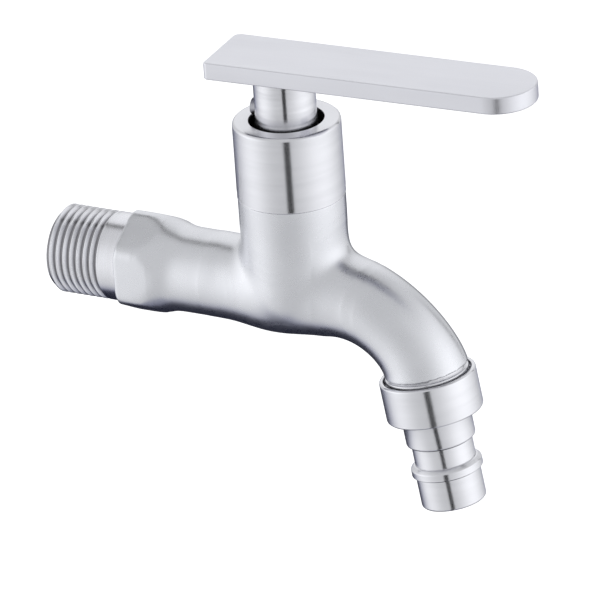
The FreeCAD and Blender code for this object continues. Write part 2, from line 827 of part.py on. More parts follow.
def lever():
    """Flat bar with a round front end and lightly rounded edges."""
    low = "lever_top - lever_thickness"
    bar = block("LeverBar", "lever_back + lever_front", "lever_width", low, "lever_top")
    bind(bar, "Placement.Base.x", "-lever_back")
    nose = drum("LeverNose", "lever_width / 2", low, "lever_top")
    bind(nose, "Placement.Base.x", "lever_front")
    plate = fuse("LeverPlate", bar, nose)
    doc.recompute()
    corners = doc.addObject("Part::Fillet", "LeverCorners")
    corners.Base = plate
    picked = []
    for number, edge in enumerate(plate.Shape.Edges, 1):
        box = edge.BoundBox
        if box.ZLength > size("lever_thickness") / 2 and abs(box.Center.x + size("lever_back")) < 1e-3:
            picked.append((number, size("lever_corner_round"), size("lever_corner_round")))
    corners.Edges = picked
    doc.recompute()
    edges = doc.addObject("Part::Fillet", "LeverEdges")
    edges.Base = corners
    picked = []
    for number, edge in enumerate(corners.Shape.Edges, 1):
        if edge.BoundBox.ZLength < 1e-3:
            picked.append((number, size("lever_edge_round"), size("lever_edge_round")))
    edges.Edges = picked
    return cut("lever", edges, drum("LeverRecess", "spigot_radius", f"{low} - 1", f"{low} + spigot_height"))


def union_nut():
    """Smooth ring nut: plain at the thread's crests, with a lip under the hose tail's flange."""
    blank = soften(
        "NutBlank",
        drum("NutRound", "nut_radius", "0", "nut_length"),
        [
            (size("nut_radius"), 0, size("nut_edge_round")),
            (size("nut_radius"), size("nut_length"), size("nut_edge_round")),
        ],
    )
    return cut(
        "union_nut",
        blank,
        drum("NutThread", "pipe_thread_radius + fit_gap", "-1", "nut_length - nut_lip"),
        drum("NutHole", "tail_step_radius + free_gap", "0", "nut_length + 1"),
    )


def hose_tail():
    """Stepped nozzle held by the nut, with a ring behind its push-on end."""
    flange_low = "tail_flange_bottom"
    bevel_end = "tail_ring_start + tail_ring_bevel"
    bevel_radius = "tail_ring_radius - tail_ring_bevel"
    blank = fuse(
        "TailBlank",
        drum("TailFlange", "tail_flange_radius", flange_low, "nut_length - nut_lip"),
        drum("TailStep", "tail_step_radius", flange_low, "tail_step_end"),
        drum("TailWaist", "tail_waist_radius", flange_low, "tail_ring_end"),
        taper("TailBevel", bevel_radius, "tail_ring_radius", "tail_ring_start", bevel_end),
        drum("TailRing", "tail_ring_radius", bevel_end, "tail_ring_end"),
        drum("TailEnd", "tail_end_radius", "tail_ring_end", "tail_length"),
    )
    turned = soften(
        "TailTurned",
        blank,
        [
            (size("tail_step_radius"), size("tail_step_end"), size("tail_edge_round")),
            (size("tail_end_radius"), size("tail_length"), size("tail_edge_round")),
        ],
    )
    bore = drum("TailBore", "tail_bore_radius", f"{flange_low} - 1", "tail_length + 1")
    return cut("hose_tail", turned, bore)


def outlet_washer():
    """Flat washer between the end of the spout and the hose tail's flange."""
    top = "tail_flange_bottom"
    low = f"{top} - outlet_washer_thickness"
    return cut(
        "outlet_washer",
        drum("OutletWasherOuter", "tail_flange_radius", low, top),
        drum("OutletWasherInner", "outlet_washer_inner", f"{low} - 1", f"{top} + 1"),
    )


def build():
    """Makes every sub-part, labels it and puts it in its place."""
    parts = {"tap_body": tap_body()}
    on_tower = {
        "headwork_body": headwork_body(),
        "headwork_seal": headwork_seal(),
        "cap": cap(),
        "cap_ring": cap_ring(),
        "thrust_washer": thrust_washer(),
        "fixed_disc": fixed_disc(),
        "seat_seal": seat_seal(),
    }
    for name, item in on_tower.items():
        bind(item, "Placement.Base.x", "reach")
        parts[name] = item
    turning = {
        "spindle": spindle(),
        "spindle_clip": spindle_clip(),
        "moving_disc": moving_disc(),
        "handle_hub": handle_hub(),
        "spline_insert": spline_insert(),
        "lever": lever(),
    }
    for name, item in turning.items():
        parts[name] = place(item, "reach", "0", UP, "handle_yaw")
    for name in ("lower", "upper"):
        seal = spindle_seal(f"spindle_seal_{name}")
        parts[f"spindle_seal_{name}"] = place(seal, "reach", f"{name}_groove_level", UP, "handle_yaw")
    screw = grub_screw()
    turn = FreeCAD.Rotation(UP, size("handle_yaw")) * FreeCAD.Rotation(SIDE, -90)
    screw.Placement = FreeCAD.Placement(FreeCAD.Vector(size("reach"), 0, size("grub_level")), turn)
    parts["grub_screw"] = screw
    outlet = {"union_nut": union_nut(), "hose_tail": hose_tail(), "outlet_washer": outlet_washer()}
    for name, item in outlet.items():
        parts[name] = at_outlet(item)
    for name, item in parts.items():
        item.Label = name
    return parts


def check(parts):
    """Stops if any object failed or any sub-part is not a sound solid."""
    for item in doc.Objects:
        if "Invalid" in item.State or "Error" in item.State:
            raise RuntimeError(f"{item.Name} failed: {item.State}")
    for name, item in parts.items():
        shape = item.Shape
        if shape.isNull() or not shape.isValid() or not shape.Solids:
            raise RuntimeError(f"{name} is not a sound solid")
        print(f"{name}: {len(shape.Solids)} solid, {shape.Volume:.1f} cubic mm")


parts = build()
doc.recompute()
check(parts)
os.makedirs("parts", exist_ok=True)
for name, item in parts.items():
    item.Shape.exportStep(f"parts/{name}.step")
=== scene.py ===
import math
import bmesh
import bpy
from mathutils import Matrix, Vector


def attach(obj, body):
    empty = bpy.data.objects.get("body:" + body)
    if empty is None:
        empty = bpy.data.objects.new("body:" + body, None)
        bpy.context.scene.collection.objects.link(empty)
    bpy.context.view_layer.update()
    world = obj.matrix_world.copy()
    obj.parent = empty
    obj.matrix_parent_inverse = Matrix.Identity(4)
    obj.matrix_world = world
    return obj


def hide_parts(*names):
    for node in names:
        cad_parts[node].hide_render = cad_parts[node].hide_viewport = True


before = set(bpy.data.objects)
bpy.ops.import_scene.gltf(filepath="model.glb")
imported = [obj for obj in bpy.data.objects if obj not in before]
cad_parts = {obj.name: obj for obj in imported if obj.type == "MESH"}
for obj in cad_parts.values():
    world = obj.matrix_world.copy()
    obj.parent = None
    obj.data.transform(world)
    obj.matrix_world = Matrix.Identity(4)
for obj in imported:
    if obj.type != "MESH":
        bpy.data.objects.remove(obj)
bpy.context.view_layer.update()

mm = 0.001

# Camera. It stands in front of the wall on the spout's right, about 24 degrees up,
# and far enough away for the tap to show almost no perspective.
azimuth, elevation, roll = (math.radians(turn) for turn in (30.07, 24.21, -4.08))
facing = Vector((math.sin(azimuth), -math.cos(azimuth), 0))
level = Vector((math.cos(azimuth), math.sin(azimuth), 0))
back = facing * math.cos(elevation) + Vector((0, 0, math.sin(elevation)))
upward = back.cross(level)
right = level * math.cos(roll) + upward * math.sin(roll)
top = upward * math.cos(roll) - level * math.sin(roll)
camera = bpy.data.objects.new("camera", bpy.data.cameras.new("camera"))
camera.data.lens = 643.4
camera.data.sensor_width = 36
camera.data.clip_end = 20
camera.matrix_world = Matrix((right, top, back)).transposed().to_4x4()
tower_ahead = 43.4  # from the collar's back to the tower's axis, in millimetres
aim = right * 0.43 * mm - top * 3.626 * mm
camera.location = Vector((tower_ahead * mm, 0, 0)) + back * 2.5056 + aim
bpy.context.scene.collection.objects.link(camera)
bpy.context.scene.camera = camera
bpy.context.scene.view_settings.view_transform = "Standard"


# Studio. A tall light tent of white cloth stands round the tap, with two seams and a dark
# room under the tap. A strip of cloth hangs before the camera, and the floor is far below.
def new_node(tree, kind, **settings):
    made = tree.nodes.new("ShaderNode" + kind)
    for key, value in settings.items():
        setattr(made, key, value)
    return made


def math_step(tree, operation, first, second=None, third=None):
    """One Math node; each operand is a number or another node's output."""
    made = new_node(tree, "Math", operation=operation)
    for socket, value in zip(made.inputs, (first, second, third)):
        if value is None:
            continue
        if isinstance(value, (int, float)):
            socket.default_value = value
        else:
            tree.links.new(value, socket)
    return made.outputs[0]


def ramp_between(tree, value, low, high, low_result=0.0, high_result=1.0):
    """Smooth change from one result to another while a value goes from low to high."""
    made = new_node(tree, "MapRange", interpolation_type="SMOOTHSTEP")
    tree.links.new(value, made.inputs["Value"])
    made.inputs["From Min"].default_value = low
    made.inputs["From Max"].default_value = high
    made.inputs["To Min"].default_value = low_result
    made.inputs["To Max"].default_value = high_result
    return made.outputs["Result"]


def product(tree, *factors):
    """All the factors multiplied one after the other."""
    result = factors[0]
    for factor in factors[1:]:
        result = math_step(tree, "MULTIPLY", result, factor)
    return result


def mixed(tree, factor, first, second):
    """Colour from a first to a second one; each is a colour or another node's output."""
    made = new_node(tree, "Mix", data_type="RGBA")
    tree.links.new(factor, made.inputs["Factor"])
    for label, colour in (("A", first), ("B", second)):
        if isinstance(colour, tuple):
            made.inputs[label].default_value = (*colour, 1)
        else:
            tree.links.new(colour, made.inputs[label])
    return made.outputs["Result"]


def along(tree, direction, axis):
    """How far a direction points along an axis."""
    made = new_node(tree, "VectorMath", operation="DOT_PRODUCT")
    tree.links.new(direction, made.inputs[0])
    made.inputs[1].default_value = axis
    return made.outputs["Value"]


def spread_out(turn, up=0):
    """Direction so many degrees to the right of the camera's side, and so many up."""
    turn, up = math.radians(turn), math.radians(up)
    flat = facing * math.cos(turn) + level * math.sin(turn)
    return flat * math.cos(up) + Vector((0, 0, math.sin(up)))


studio = bpy.data.worlds.new("light_tent")
studio.use_nodes = True
bpy.context.scene.world = studio
tree = studio.node_tree
tree.nodes.clear()
looking = new_node(tree, "TexCoord").outputs["Generated"]
height = along(tree, looking, (0, 0, 1))
# two broad lamps behind the cloth, left and right of the camera, and a weaker one behind
left_side = math_step(tree, "MAXIMUM", along(tree, looking, spread_out(-88)), 0.0)
right_side = math_step(tree, "MAXIMUM", along(tree, looking, spread_out(74)), 0.0)
lamps = math_step(
    tree, "ADD", math_step(tree, "POWER", left_side, 4.5), math_step(tree, "POWER", right_side, 2.6)
)
lamps = math_step(tree, "MULTIPLY", lamps, ramp_between(tree, height, 0.5, 0.92, 1, 0.1))
behind = ramp_between(tree, along(tree, looking, spread_out(180, 32)), 0.78, 0.97)
cloth = math_step(tree, "MULTIPLY_ADD", lamps, 0.68, 0.73)
cloth = math_step(tree, "MULTIPLY_ADD", behind, 0.3, cloth)

# seams of the cloth: one over the tube and one behind the spout
off_roof = math_step(tree, "ABSOLUTE", along(tree, looking, (0, -0.964, 0.264)))
roof_seam = product(
    tree,
    ramp_between(tree, off_roof, 0.03, 0.15, 1, 0),
    ramp_between(tree, height, 0.6, 0.75),
    ramp_between(tree, along(tree, looking, (1, 0, 0)), 0.3, 0.5, 1, 0),
)
off_wall = math_step(tree, "ABSOLUTE", along(tree, looking, (-0.952, 0.305, 0)))
wall_seam = product(
    tree,
    ramp_between(tree, off_wall, 0.02, 0.1, 1, 0),
    ramp_between(tree, height, 0.25, 0.5, 1, 0),
    ramp_between(tree, along(tree, looking, (0, 1, 0)), 0.3, 0.5),
    ramp_between(tree, height, -0.2, -0.05),
)

# the dark room under the tap, on the wall's side
downward = along(tree, looking, (-0.35, 0.45, -0.82))
rim_of_room = ramp_between(tree, downward, 0.55, 0.8, 0, 0.25)
under = math_step(tree, "ADD", rim_of_room, ramp_between(tree, downward, 0.75, 0.855, 0, 0.73))
under = math_step(tree, "MAXIMUM", under, ramp_between(tree, height, -0.97, -0.83, 0.5, 0))
shade = product(tree, under, 0.97)
for seam, darkness in ((roof_seam, 0.9), (wall_seam, 0.8)):
    shade = math_step(tree, "MAXIMUM", shade, product(tree, seam, darkness))
strength = math_step(tree, "MULTIPLY", cloth, math_step(tree, "SUBTRACT", 1.0, shade))

# the camera itself sees plain white all round
glow = new_node(tree, "Background")
daylight, dusk = (0.97, 0.98, 1), (0.5, 0.55, 1)
tree.links.new(mixed(tree, under, daylight, dusk), glow.inputs["Color"])
tree.links.new(strength, glow.inputs["Strength"])
white = new_node(tree, "Background")
white.inputs["Strength"].default_value = 1
pick = new_node(tree, "MixShader")
tree.links.new(new_node(tree, "LightPath").outputs["Is Camera Ray"], pick.inputs[0])
tree.links.new(glow.outputs[0], pick.inputs[1])
tree.links.new(white.outputs[0], pick.inputs[2])
tree.links.new(pick.outputs[0], new_node(tree, "OutputWorld").inputs["Surface"])


def linked_object(name, shape, material):
    """A bmesh turned into an object of one material, in the scene."""
    mesh = bpy.data.meshes.new(name)
    shape.to_mesh(mesh)
    shape.free()
    mesh.materials.append(material)
    made = bpy.data.objects.new(name, mesh)
    bpy.context.scene.collection.objects.link(made)
    return made


def plain_surface(name, tint, roughness):
    """A material with its node tree and its shader, for the caller to add to."""
    made = bpy.data.materials.new(name)
    made.use_nodes = True
    shader = made.node_tree.nodes["Principled BSDF"]
    shader.inputs["Base Color"].default_value = (*tint, 1)
    shader.inputs["Roughness"].default_value = roughness
    return made, made.node_tree, shader


paper, tree, surface = plain_surface("studio_paper", (0.86, 0.86, 0.86), 0.9)
surface.inputs["Emission Color"].default_value = (1, 1, 1, 1)
seen = new_node(tree, "LightPath").outputs["Is Camera Ray"]
tree.links.new(product(tree, seen, 0.5), surface.inputs["Emission Strength"])
sheet = bmesh.new()
bmesh.ops.create_grid(sheet, x_segments=2, y_segments=2, size=4, matrix=Matrix.Translation((0, 0, -0.6)))
floor = linked_object("floor", sheet, paper)
floor.visible_glossy = False

# a strip of cloth hangs in front of the camera's gap: it glows for the satin casting only, so
# that the turned pieces mirror it as the gap's dark line
strip_cloth, tree, surface = plain_surface("strip_cloth", (0, 0, 0), 1)
surface.inputs["Emission Color"].default_value = (*daylight, 1)
surface.inputs["Emission Strength"].default_value = 0.74
sheet = bmesh.new()
bmesh.ops.create_grid(sheet, x_segments=1, y_segments=1, size=0.5)
bmesh.ops.scale(sheet, vec=(0.235, 4, 1), verts=sheet.verts)
bmesh.ops.translate(sheet, vec=(0, -1.95, 0), verts=sheet.verts)
strip_place = Matrix((level, (0, 0, 1), level.cross(Vector((0, 0, 1))))).transposed().to_4x4()
strip_place.translation = spread_out(-1.5)
bmesh.ops.transform(sheet, matrix=strip_place, verts=sheet.verts)
strip = linked_object("strip", sheet, strip_cloth)
for seen_by in ("visible_camera", "visible_diffuse", "visible_shadow", "visible_transmission"):
    setattr(strip, seen_by, False)
satin_pieces = bpy.data.collections.new("satin_pieces")
strip.light_linking.receiver_collection = satin_pieces


# Cast body. One stainless casting: the tube from the wall, the hexagonal collar for the
# spanner, the tower for the headwork and the spout. It was blasted and then satin polished.
def finish_piece(name, shape, material, body, slot, *nodes):
    """Turns a bmesh into a smooth shaded piece that rides on a body in place of CAD nodes."""
    piece = linked_object(name, shape, material)
    for face in piece.data.polygons:
        face.use_smooth = True
    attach(piece, body)
    if nodes:
        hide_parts(*nodes)
    return piece


def keep_flats(piece):
    """Rounded edges take the bending of the shading, so that flat faces stay flat."""
    shading = piece.modifiers.new("flat_faces_flat", "WEIGHTED_NORMAL")
    shading.keep_sharp = True


def stretched(tree, vector, scale=(1, 1, 1), turn=(0, 0, 0)):
    """Coordinates turned first and then stretched."""
    made = new_node(tree, "Mapping", vector_type="TEXTURE")
    made.inputs["Rotation"].default_value = turn
    made.inputs["Scale"].default_value = [1 / each for each in scale]
    tree.links.new(vector, made.inputs["Vector"])
    return made.outputs["Vector"]


def noise(tree, vector, scale):
    """Noise that repeats so many times per metre along x, y and z."""
    made = new_node(tree, "TexNoise")
    made.inputs["Scale"].default_value = 1
    made.inputs["Detail"].default_value = 2
    made.inputs["Roughness"].default_value = 0.55
    tree.links.new(stretched(tree, vector, scale), made.inputs["Vector"])
    return made.outputs["Fac"]


def marks_group(name, fine, coarse, share, cloud):
    """Node group of a finish: fine and coarse marks, added with the fine ones' share, and clouds."""
    group = bpy.data.node_groups.new(name, "ShaderNodeTree")
    group.interface.new_socket("Vector", in_out="INPUT", socket_type="NodeSocketVector")
    for label in ("Marks", "Cloud"):
        group.interface.new_socket(label, in_out="OUTPUT", socket_type="NodeSocketFloat")
    place = group.nodes.new("NodeGroupInput").outputs["Vector"]
    going = group.nodes.new("NodeGroupOutput")
    fine_part = product(group, noise(group, place, fine), share)
    coarse_part = product(group, noise(group, place, coarse), 1 - share)
    group.links.new(math_step(group, "ADD", fine_part, coarse_part), going.inputs["Marks"])
    group.links.new(noise(group, place, cloud), going.inputs["Cloud"])
    return group


def metal(name, tint, roughness, spread=0.0):
    """Bare metal with its own shader; with a spread it shines across its brushing."""
    made, tree, shader = plain_surface(name, tint, roughness)
    shader.inputs["Metallic"].default_value = 1
    if spread:
        flow = new_node(tree, "Tangent", direction_type="UV_MAP", uv_map="UVMap")
        tree.links.new(flow.outputs["Tangent"], shader.inputs["Tangent"])
        shader.inputs["Anisotropic"].default_value = spread
        shader.inputs["Anisotropic Rotation"].default_value = 0.25
    return made, tree, shader


def use_marks(tree, shader, group, place, tones, roughness, depth):
    """Marks drive the bump and the roughness, and slow clouds the colour, which is returned."""
    marks = new_node(tree, "Group", node_tree=group)
    tree.links.new(place, marks.inputs["Vector"])
    tone = mixed(tree, ramp_between(tree, marks.outputs["Cloud"], 0.3, 0.7), *tones)
    tree.links.new(tone, shader.inputs["Base Color"])
    shine = ramp_between(tree, marks.outputs["Marks"], 0.3, 0.7, *roughness)
    tree.links.new(shine, shader.inputs["Roughness"])
    bump = new_node(tree, "Bump")
    bump.inputs["Distance"].default_value = depth
    tree.links.new(marks.outputs["Marks"], bump.inputs["Height"])
    tree.links.new(bump.outputs["Normal"], shader.inputs["Normal"])
    return tone


# fine grain and slow unevenness of a blasted and polished surface
satin = marks_group("satin_grain", (2600,) * 3, (420,) * 3, 0.5, (70,) * 3)


def plain_grain(name, tones, metallic, roughness, scale, depth):
    """Material of an inner part, grained like the casting, in two tones from dark to light."""
    made, tree, shader = metal(name, tones[1], roughness[1])
    shader.inputs["Metallic"].default_value = metallic
    place = stretched(tree, new_node(tree, "TexCoord").outputs["Object"], (scale,) * 3)
    use_marks(tree, shader, satin, place, tones, roughness, depth)
    return made


cast_tones = ((0.69, 0.695, 0.72), (0.74, 0.745, 0.77))
cast_steel, tree, shader = metal("cast_steel", (0.6, 0.6, 0.63), 0.28)
place = new_node(tree, "TexCoord").outputs["Object"]
tone = use_marks(tree, shader, satin, place, cast_tones, (0.26, 0.32), 1.4e-6)
# painted shade and reflection: the base colour goes nearly black where the surface turns away from the
# camera, on the faces that point away from the wall
side = new_node(tree, "SeparateXYZ")
tree.links.new(new_node(tree, "TexCoord").outputs["Normal"], side.inputs["Vector"])
weight = new_node(tree, "LayerWeight")
weight.inputs["Blend"].default_value = 0.5
# skin here is only the mask of this painted shade
skin = product(
    tree,
    ramp_between(tree, weight.outputs["Facing"], 0.68, 0.86),
    ramp_between(tree, side.outputs["X"], 0.2, 0.55, 0, 0.85),
)
edge_shade_colour = (0.03, 0.03, 0.034)
tree.links.new(mixed(tree, skin, tone, edge_shade_colour), shader.inputs["Base Color"])

tower = Matrix.Translation((tower_ahead * mm, 0, 0))
tower_radius, tower_top = 12.628, 23.6
outlet_lean = math.radians(9.1)
lean_ahead, lean_down = math.sin(outlet_lean), math.cos(outlet_lean)
outlet_ahead, outlet_drop = 32.9, 17.43


def cubic(share, values):
    """Point on a cubic curve with four control values."""
    rest = 1 - share
    weights = (rest**3, 3 * rest**2 * share, 3 * rest * share**2, share**3)
    return sum(weight * value for weight, value in zip(weights, values))


def ring_place(ahead, drop, slope, radius):
    """Where a unit circle goes to be one station of the casting, in metres."""
    middle = Matrix.Translation((tower_ahead * mm + ahead * mm, 0, -drop * mm))
    return middle @ Matrix.Rotation(math.pi / 2 + slope, 4, "Y") @ Matrix.Scale(radius * mm, 4)


# stations of the casting, from the collar along the tube and the belly to the spout's end
tube_radius, belly_radius, front_radius = 10.2, 11.42, 10.57
tube_drop, belly_drop = 0.45, 0.5
spout_radii = (front_radius, 9.05, 9.1, 10.1)
rim_ahead, rim_drop = outlet_ahead - 0.9 * lean_ahead, outlet_drop - 0.9 * lean_down
spout_ahead = (9, 22.4, rim_ahead - 6 * lean_ahead - 0.3, rim_ahead)
spout_drop = (tube_drop, tube_drop, rim_drop - 6 * lean_down, rim_drop)
stations = []
for number in range(16):
    stations.append((3 - tower_ahead + 22.4 * number / 16, tube_drop, 0, tube_radius))
for number in range(12):
    swell = (belly_radius - tube_radius) * (1 - math.cos(math.pi * number / 12)) / 2
    stations.append((-18 + 14 * number / 12, belly_drop, 0, tube_radius + swell))
for number in range(12):
    fall = (belly_radius - front_radius) * (1 - math.cos(math.pi * number / 12)) / 2
    stations.append((-4 + 13 * number / 12, belly_drop, 0, belly_radius - fall))
for number in range(33):
    share = number / 32
    before, after = max(share - 0.001, 0), min(share + 0.001, 1)
    climb = cubic(after, spout_drop) - cubic(before, spout_drop)
    advance = cubic(after, spout_ahead) - cubic(before, spout_ahead)
    middle = cubic(share, spout_ahead), cubic(share, spout_drop)
    stations.append((*middle, math.atan2(climb, advance), cubic(share, spout_radii)))


def drawn(shape, profile):
    """Points of radius and height, joined by edges."""
    verts = [shape.verts.new((radius, 0, high)) for radius, high in profile]
    return verts + [shape.edges.new(pair) for pair in zip(verts, verts[1:])]


def rounded(shape, edges, width, segments=3):
    """Rounds edges off by a width."""
    bmesh.ops.bevel(
        shape, geom=edges, offset=width, offset_type="OFFSET", segments=segments, profile=0.5,
        affect="EDGES", material=-1,
    )


def cut_off(shape, point, normal):
    """Removes what lies beyond a plane."""
    everything = list(shape.verts) + list(shape.edges) + list(shape.faces)
    return bmesh.ops.bisect_plane(
        shape, geom=everything, plane_co=point, plane_no=normal, clear_outer=True
    )


def close_holes(shape):
    bmesh.ops.holes_fill(shape, edges=[edge for edge in shape.edges if edge.is_boundary], sides=0)


def turned_shape(profile, place, bevels=()):
    """Spins a profile of radius and height, in millimetres, and rounds its rims."""
    shape = bmesh.new()
    bmesh.ops.spin(
        shape, geom=drawn(shape, profile), cent=(0, 0, 0), axis=(0, 0, 1), angle=2 * math.pi,
        steps=128, use_merge=True,
    )
    bmesh.ops.remove_doubles(shape, verts=shape.verts, dist=0.001)
    bmesh.ops.recalc_face_normals(shape, faces=shape.faces)
    for width, rims in bevels:
        rounded(shape, [edge for edge in shape.edges if is_on(edge, rims)], width)
    lay_out(shape)
    bmesh.ops.transform(shape, matrix=place @ Matrix.Scale(mm, 4), verts=shape.verts)
    return shape


def is_on(edge, rims):
    """True for an edge that lies on one of the rims, each given by radius and height."""
    ends = [(vert.co.xy.length, vert.co.z) for vert in edge.verts]
    return any(
        all(abs(end[0] - radius) < 1e-3 and abs(end[1] - high) < 1e-3 for end in ends)
        for radius, high in rims
    )


def lay_out(shape):
    """UV map of a turned shape: once round across, along the axis and the radius upwards."""
    layer = shape.loops.layers.uv.new("UVMap")
    for face in shape.faces:
        centre = face.calc_center_median()
        middle = math.atan2(centre.y, centre.x)
        for loop in face.loops:
            point = loop.vert.co
            if math.hypot(point.x, point.y) < 1e-6:
                turn = middle
            else:
                turn = math.atan2(point.y, point.x)
            if turn - middle > math.pi:
                turn -= 2 * math.pi
            if turn - middle < -math.pi:
                turn += 2 * math.pi
            loop[layer].uv = (turn / (2 * math.pi), (point.z - math.hypot(point.x, point.y)) / 40)


# the collar: a turned blank with its six flats cut by planes
lying = Matrix.Rotation(math.pi / 2, 4, "Y")
collar_axis, flat_distance = Vector((0, 0, -0.2 * mm)), 11.3
collar = turned_shape(
    [(0, 0), (12.0, 0), (12.6, 0.6), (12.6, 6.8), (9.7, 14.6), (0, 14.6)],
    Matrix.Translation(collar_axis) @ lying,
)
for number in range(6):
    turn = math.radians(30 + 60 * number)
    flat = Vector((0, math.sin(turn), math.cos(turn)))
    cut_off(collar, flat * flat_distance * mm + collar_axis, flat)
    close_holes(collar)
collar_mesh = bpy.data.meshes.new("collar_blank")
collar.to_mesh(collar_mesh)
collar.free()

# the tube, belly and spout are one circle drawn out from station to station
casting = bmesh.new()
casting.from_mesh(collar_mesh)
bpy.data.meshes.remove(collar_mesh)
circle = bmesh.ops.create_circle(casting, segments=72, radius=1, matrix=ring_place(*stations[0]))
edges = list({edge for vert in circle["verts"] for edge in vert.link_edges})
for before, after in zip(stations, stations[1:]):
    grown = bmesh.ops.extrude_edge_only(casting, edges=edges)["geom"]
    ring = [item for item in grown if isinstance(item, bmesh.types.BMVert)]
    edges = [item for item in grown if isinstance(item, bmesh.types.BMEdge)]
    edges = [edge for edge in edges if set(edge.verts) <= set(ring)]
    step = ring_place(*after) @ ring_place(*before).inverted()
    bmesh.ops.transform(casting, matrix=step, verts=ring)
close_holes(casting)
bmesh.ops.create_cone(
    casting, cap_ends=True, segments=96, radius1=tower_radius * mm, radius2=tower_radius * mm,
    depth=23 * mm, matrix=tower @ Matrix.Translation((0, 0, 13.5 * mm)),
)
bmesh.ops.create_uvsphere(
    casting, u_segments=96, v_segments=48, radius=tower_radius * mm,
    matrix=tower @ Matrix.Translation((0, 0, 2 * mm)),
)
bmesh.ops.recalc_face_normals(casting, faces=casting.faces)


def remeshed(shape, voxel):
    """One closed skin round all the overlapping forms of a bmesh."""
    mesh = bpy.data.meshes.new("rough")
    shape.to_mesh(mesh)
    shape.free()
    holder = bpy.data.objects.new("rough", mesh)
    bpy.context.scene.collection.objects.link(holder)
    skin = holder.modifiers.new("skin", "REMESH")
    skin.mode = "VOXEL"
    skin.voxel_size = voxel
    graph = bpy.context.evaluated_depsgraph_get()
    result = bpy.data.meshes.new_from_object(holder.evaluated_get(graph))
    bpy.data.objects.remove(holder)
    bpy.data.meshes.remove(mesh)
    made = bmesh.new()
    made.from_mesh(result)
    bpy.data.meshes.remove(result)
    return made


def smoothed(shape, verts, times):
    for _ in range(times):
        bmesh.ops.smooth_vert(
            shape, verts=verts, factor=0.5, use_axis_x=True, use_axis_y=True, use_axis_z=True
        )


casting = remeshed(casting, 0.36 * mm)
smoothed(casting, casting.verts, 6)


def from_corner(point):
    """How far a point is from the corner between the tower and the tube."""
    across = math.hypot(point.y, point.z + tube_drop * mm) - 10.9 * mm
    out = math.hypot(point.x - tower_ahead * mm, point.y) - tower_radius * mm
    return math.hypot(across, out) if point.z > -9 * mm else 1


# the casting's soft corners: round the tower, once more before it, and from the collar to the tube
for band, times in ((7, 20), (5.5, 25), (4.2, 35), (3, 45)):
    near = [vert for vert in casting.verts if from_corner(vert.co) < band * mm]
    smoothed(casting, near, times)
for band, times in ((9, 40), (6.5, 70)):
    near = [vert for vert in casting.verts if from_corner(vert.co) < band * mm]
    smoothed(casting, [vert for vert in near if vert.co.x > (tower_ahead + 9) * mm], times)
for start, times in ((1.2, 14), (5, 16), (9, 30)):
    near = [vert for vert in casting.verts if start * mm < vert.co.x < 22 * mm]
    smoothed(casting, near, times)


def cut_end(shape, point, normal, lip):
    """Cuts a shape square, then turns a small lip on the new edge and closes it."""
    cutting = cut_off(shape, point, normal)
    edge = [item for item in cutting["geom_cut"] if isinstance(item, bmesh.types.BMEdge)]
    grown = bmesh.ops.extrude_edge_only(shape, edges=edge)["geom"]
    ring = [item for item in grown if isinstance(item, bmesh.types.BMVert)]
    size = sum((vert.co - point).length for vert in ring) / len(ring)
    bmesh.ops.scale(shape, vec=(1 - lip / size,) * 3, space=Matrix.Translation(-point), verts=ring)
    bmesh.ops.translate(shape, vec=normal * lip, verts=ring)
    close_holes(shape)


tower_rim = Vector((tower_ahead * mm, 0, (tower_top - 0.12) * mm))
cut_end(casting, tower_rim, Vector((0, 0, 1)), 0.1 * mm)
outward = Vector((lean_ahead, 0, -lean_down))
outlet = Vector(((tower_ahead + outlet_ahead) * mm, 0, -outlet_drop * mm))
cut_end(casting, outlet - outward * 1.2 * mm, outward, 0.3 * mm)
bmesh.ops.recalc_face_normals(casting, faces=casting.faces)
cast_body = finish_piece("cast_body", casting, cast_steel, "tap", "cast_steel", "tap_body")
satin_pieces.objects.link(cast_body)


# Inlet thread. A half inch pipe thread cut on the casting, with a plain neck at the collar,
# a chamfered first turn and the bore through it.
lathe_lines = marks_group("lathe_lines", (60, 60, 9000), (45, 45, 2600), 0.6, (40, 40, 500))


def brushed(name, turn, tones, roughness, depth, root_shade_radii=None, spread=0.85):
    """Steel brushed round an axis that stands up once the coordinates are turned."""
    made, tree, shader = metal(name, tones[1], roughness[1], spread)
    place = stretched(tree, new_node(tree, "TexCoord").outputs["Object"], turn=turn)
    tone = use_marks(tree, shader, lathe_lines, place, tones, roughness, depth)
    if root_shade_radii:
        # painted shade in the bottoms of the thread, partly grime and sealing paste: the colour turns
        # grey towards the root
        flat = new_node(tree, "VectorMath", operation="MULTIPLY")
        flat.inputs[1].default_value = (1, 1, 0)
        tree.links.new(place, flat.inputs[0])
        out = new_node(tree, "VectorMath", operation="LENGTH")
        tree.links.new(flat.outputs["Vector"], out.inputs[0])
        away_from_root = ramp_between(tree, out.outputs["Value"], *root_shade_radii)
        tree.links.new(mixed(tree, away_from_root, (0.33, 0.325, 0.34), tone), shader.inputs["Base Color"])
    return made


crest, root, pitch = 10.478, 9.316, 1.814


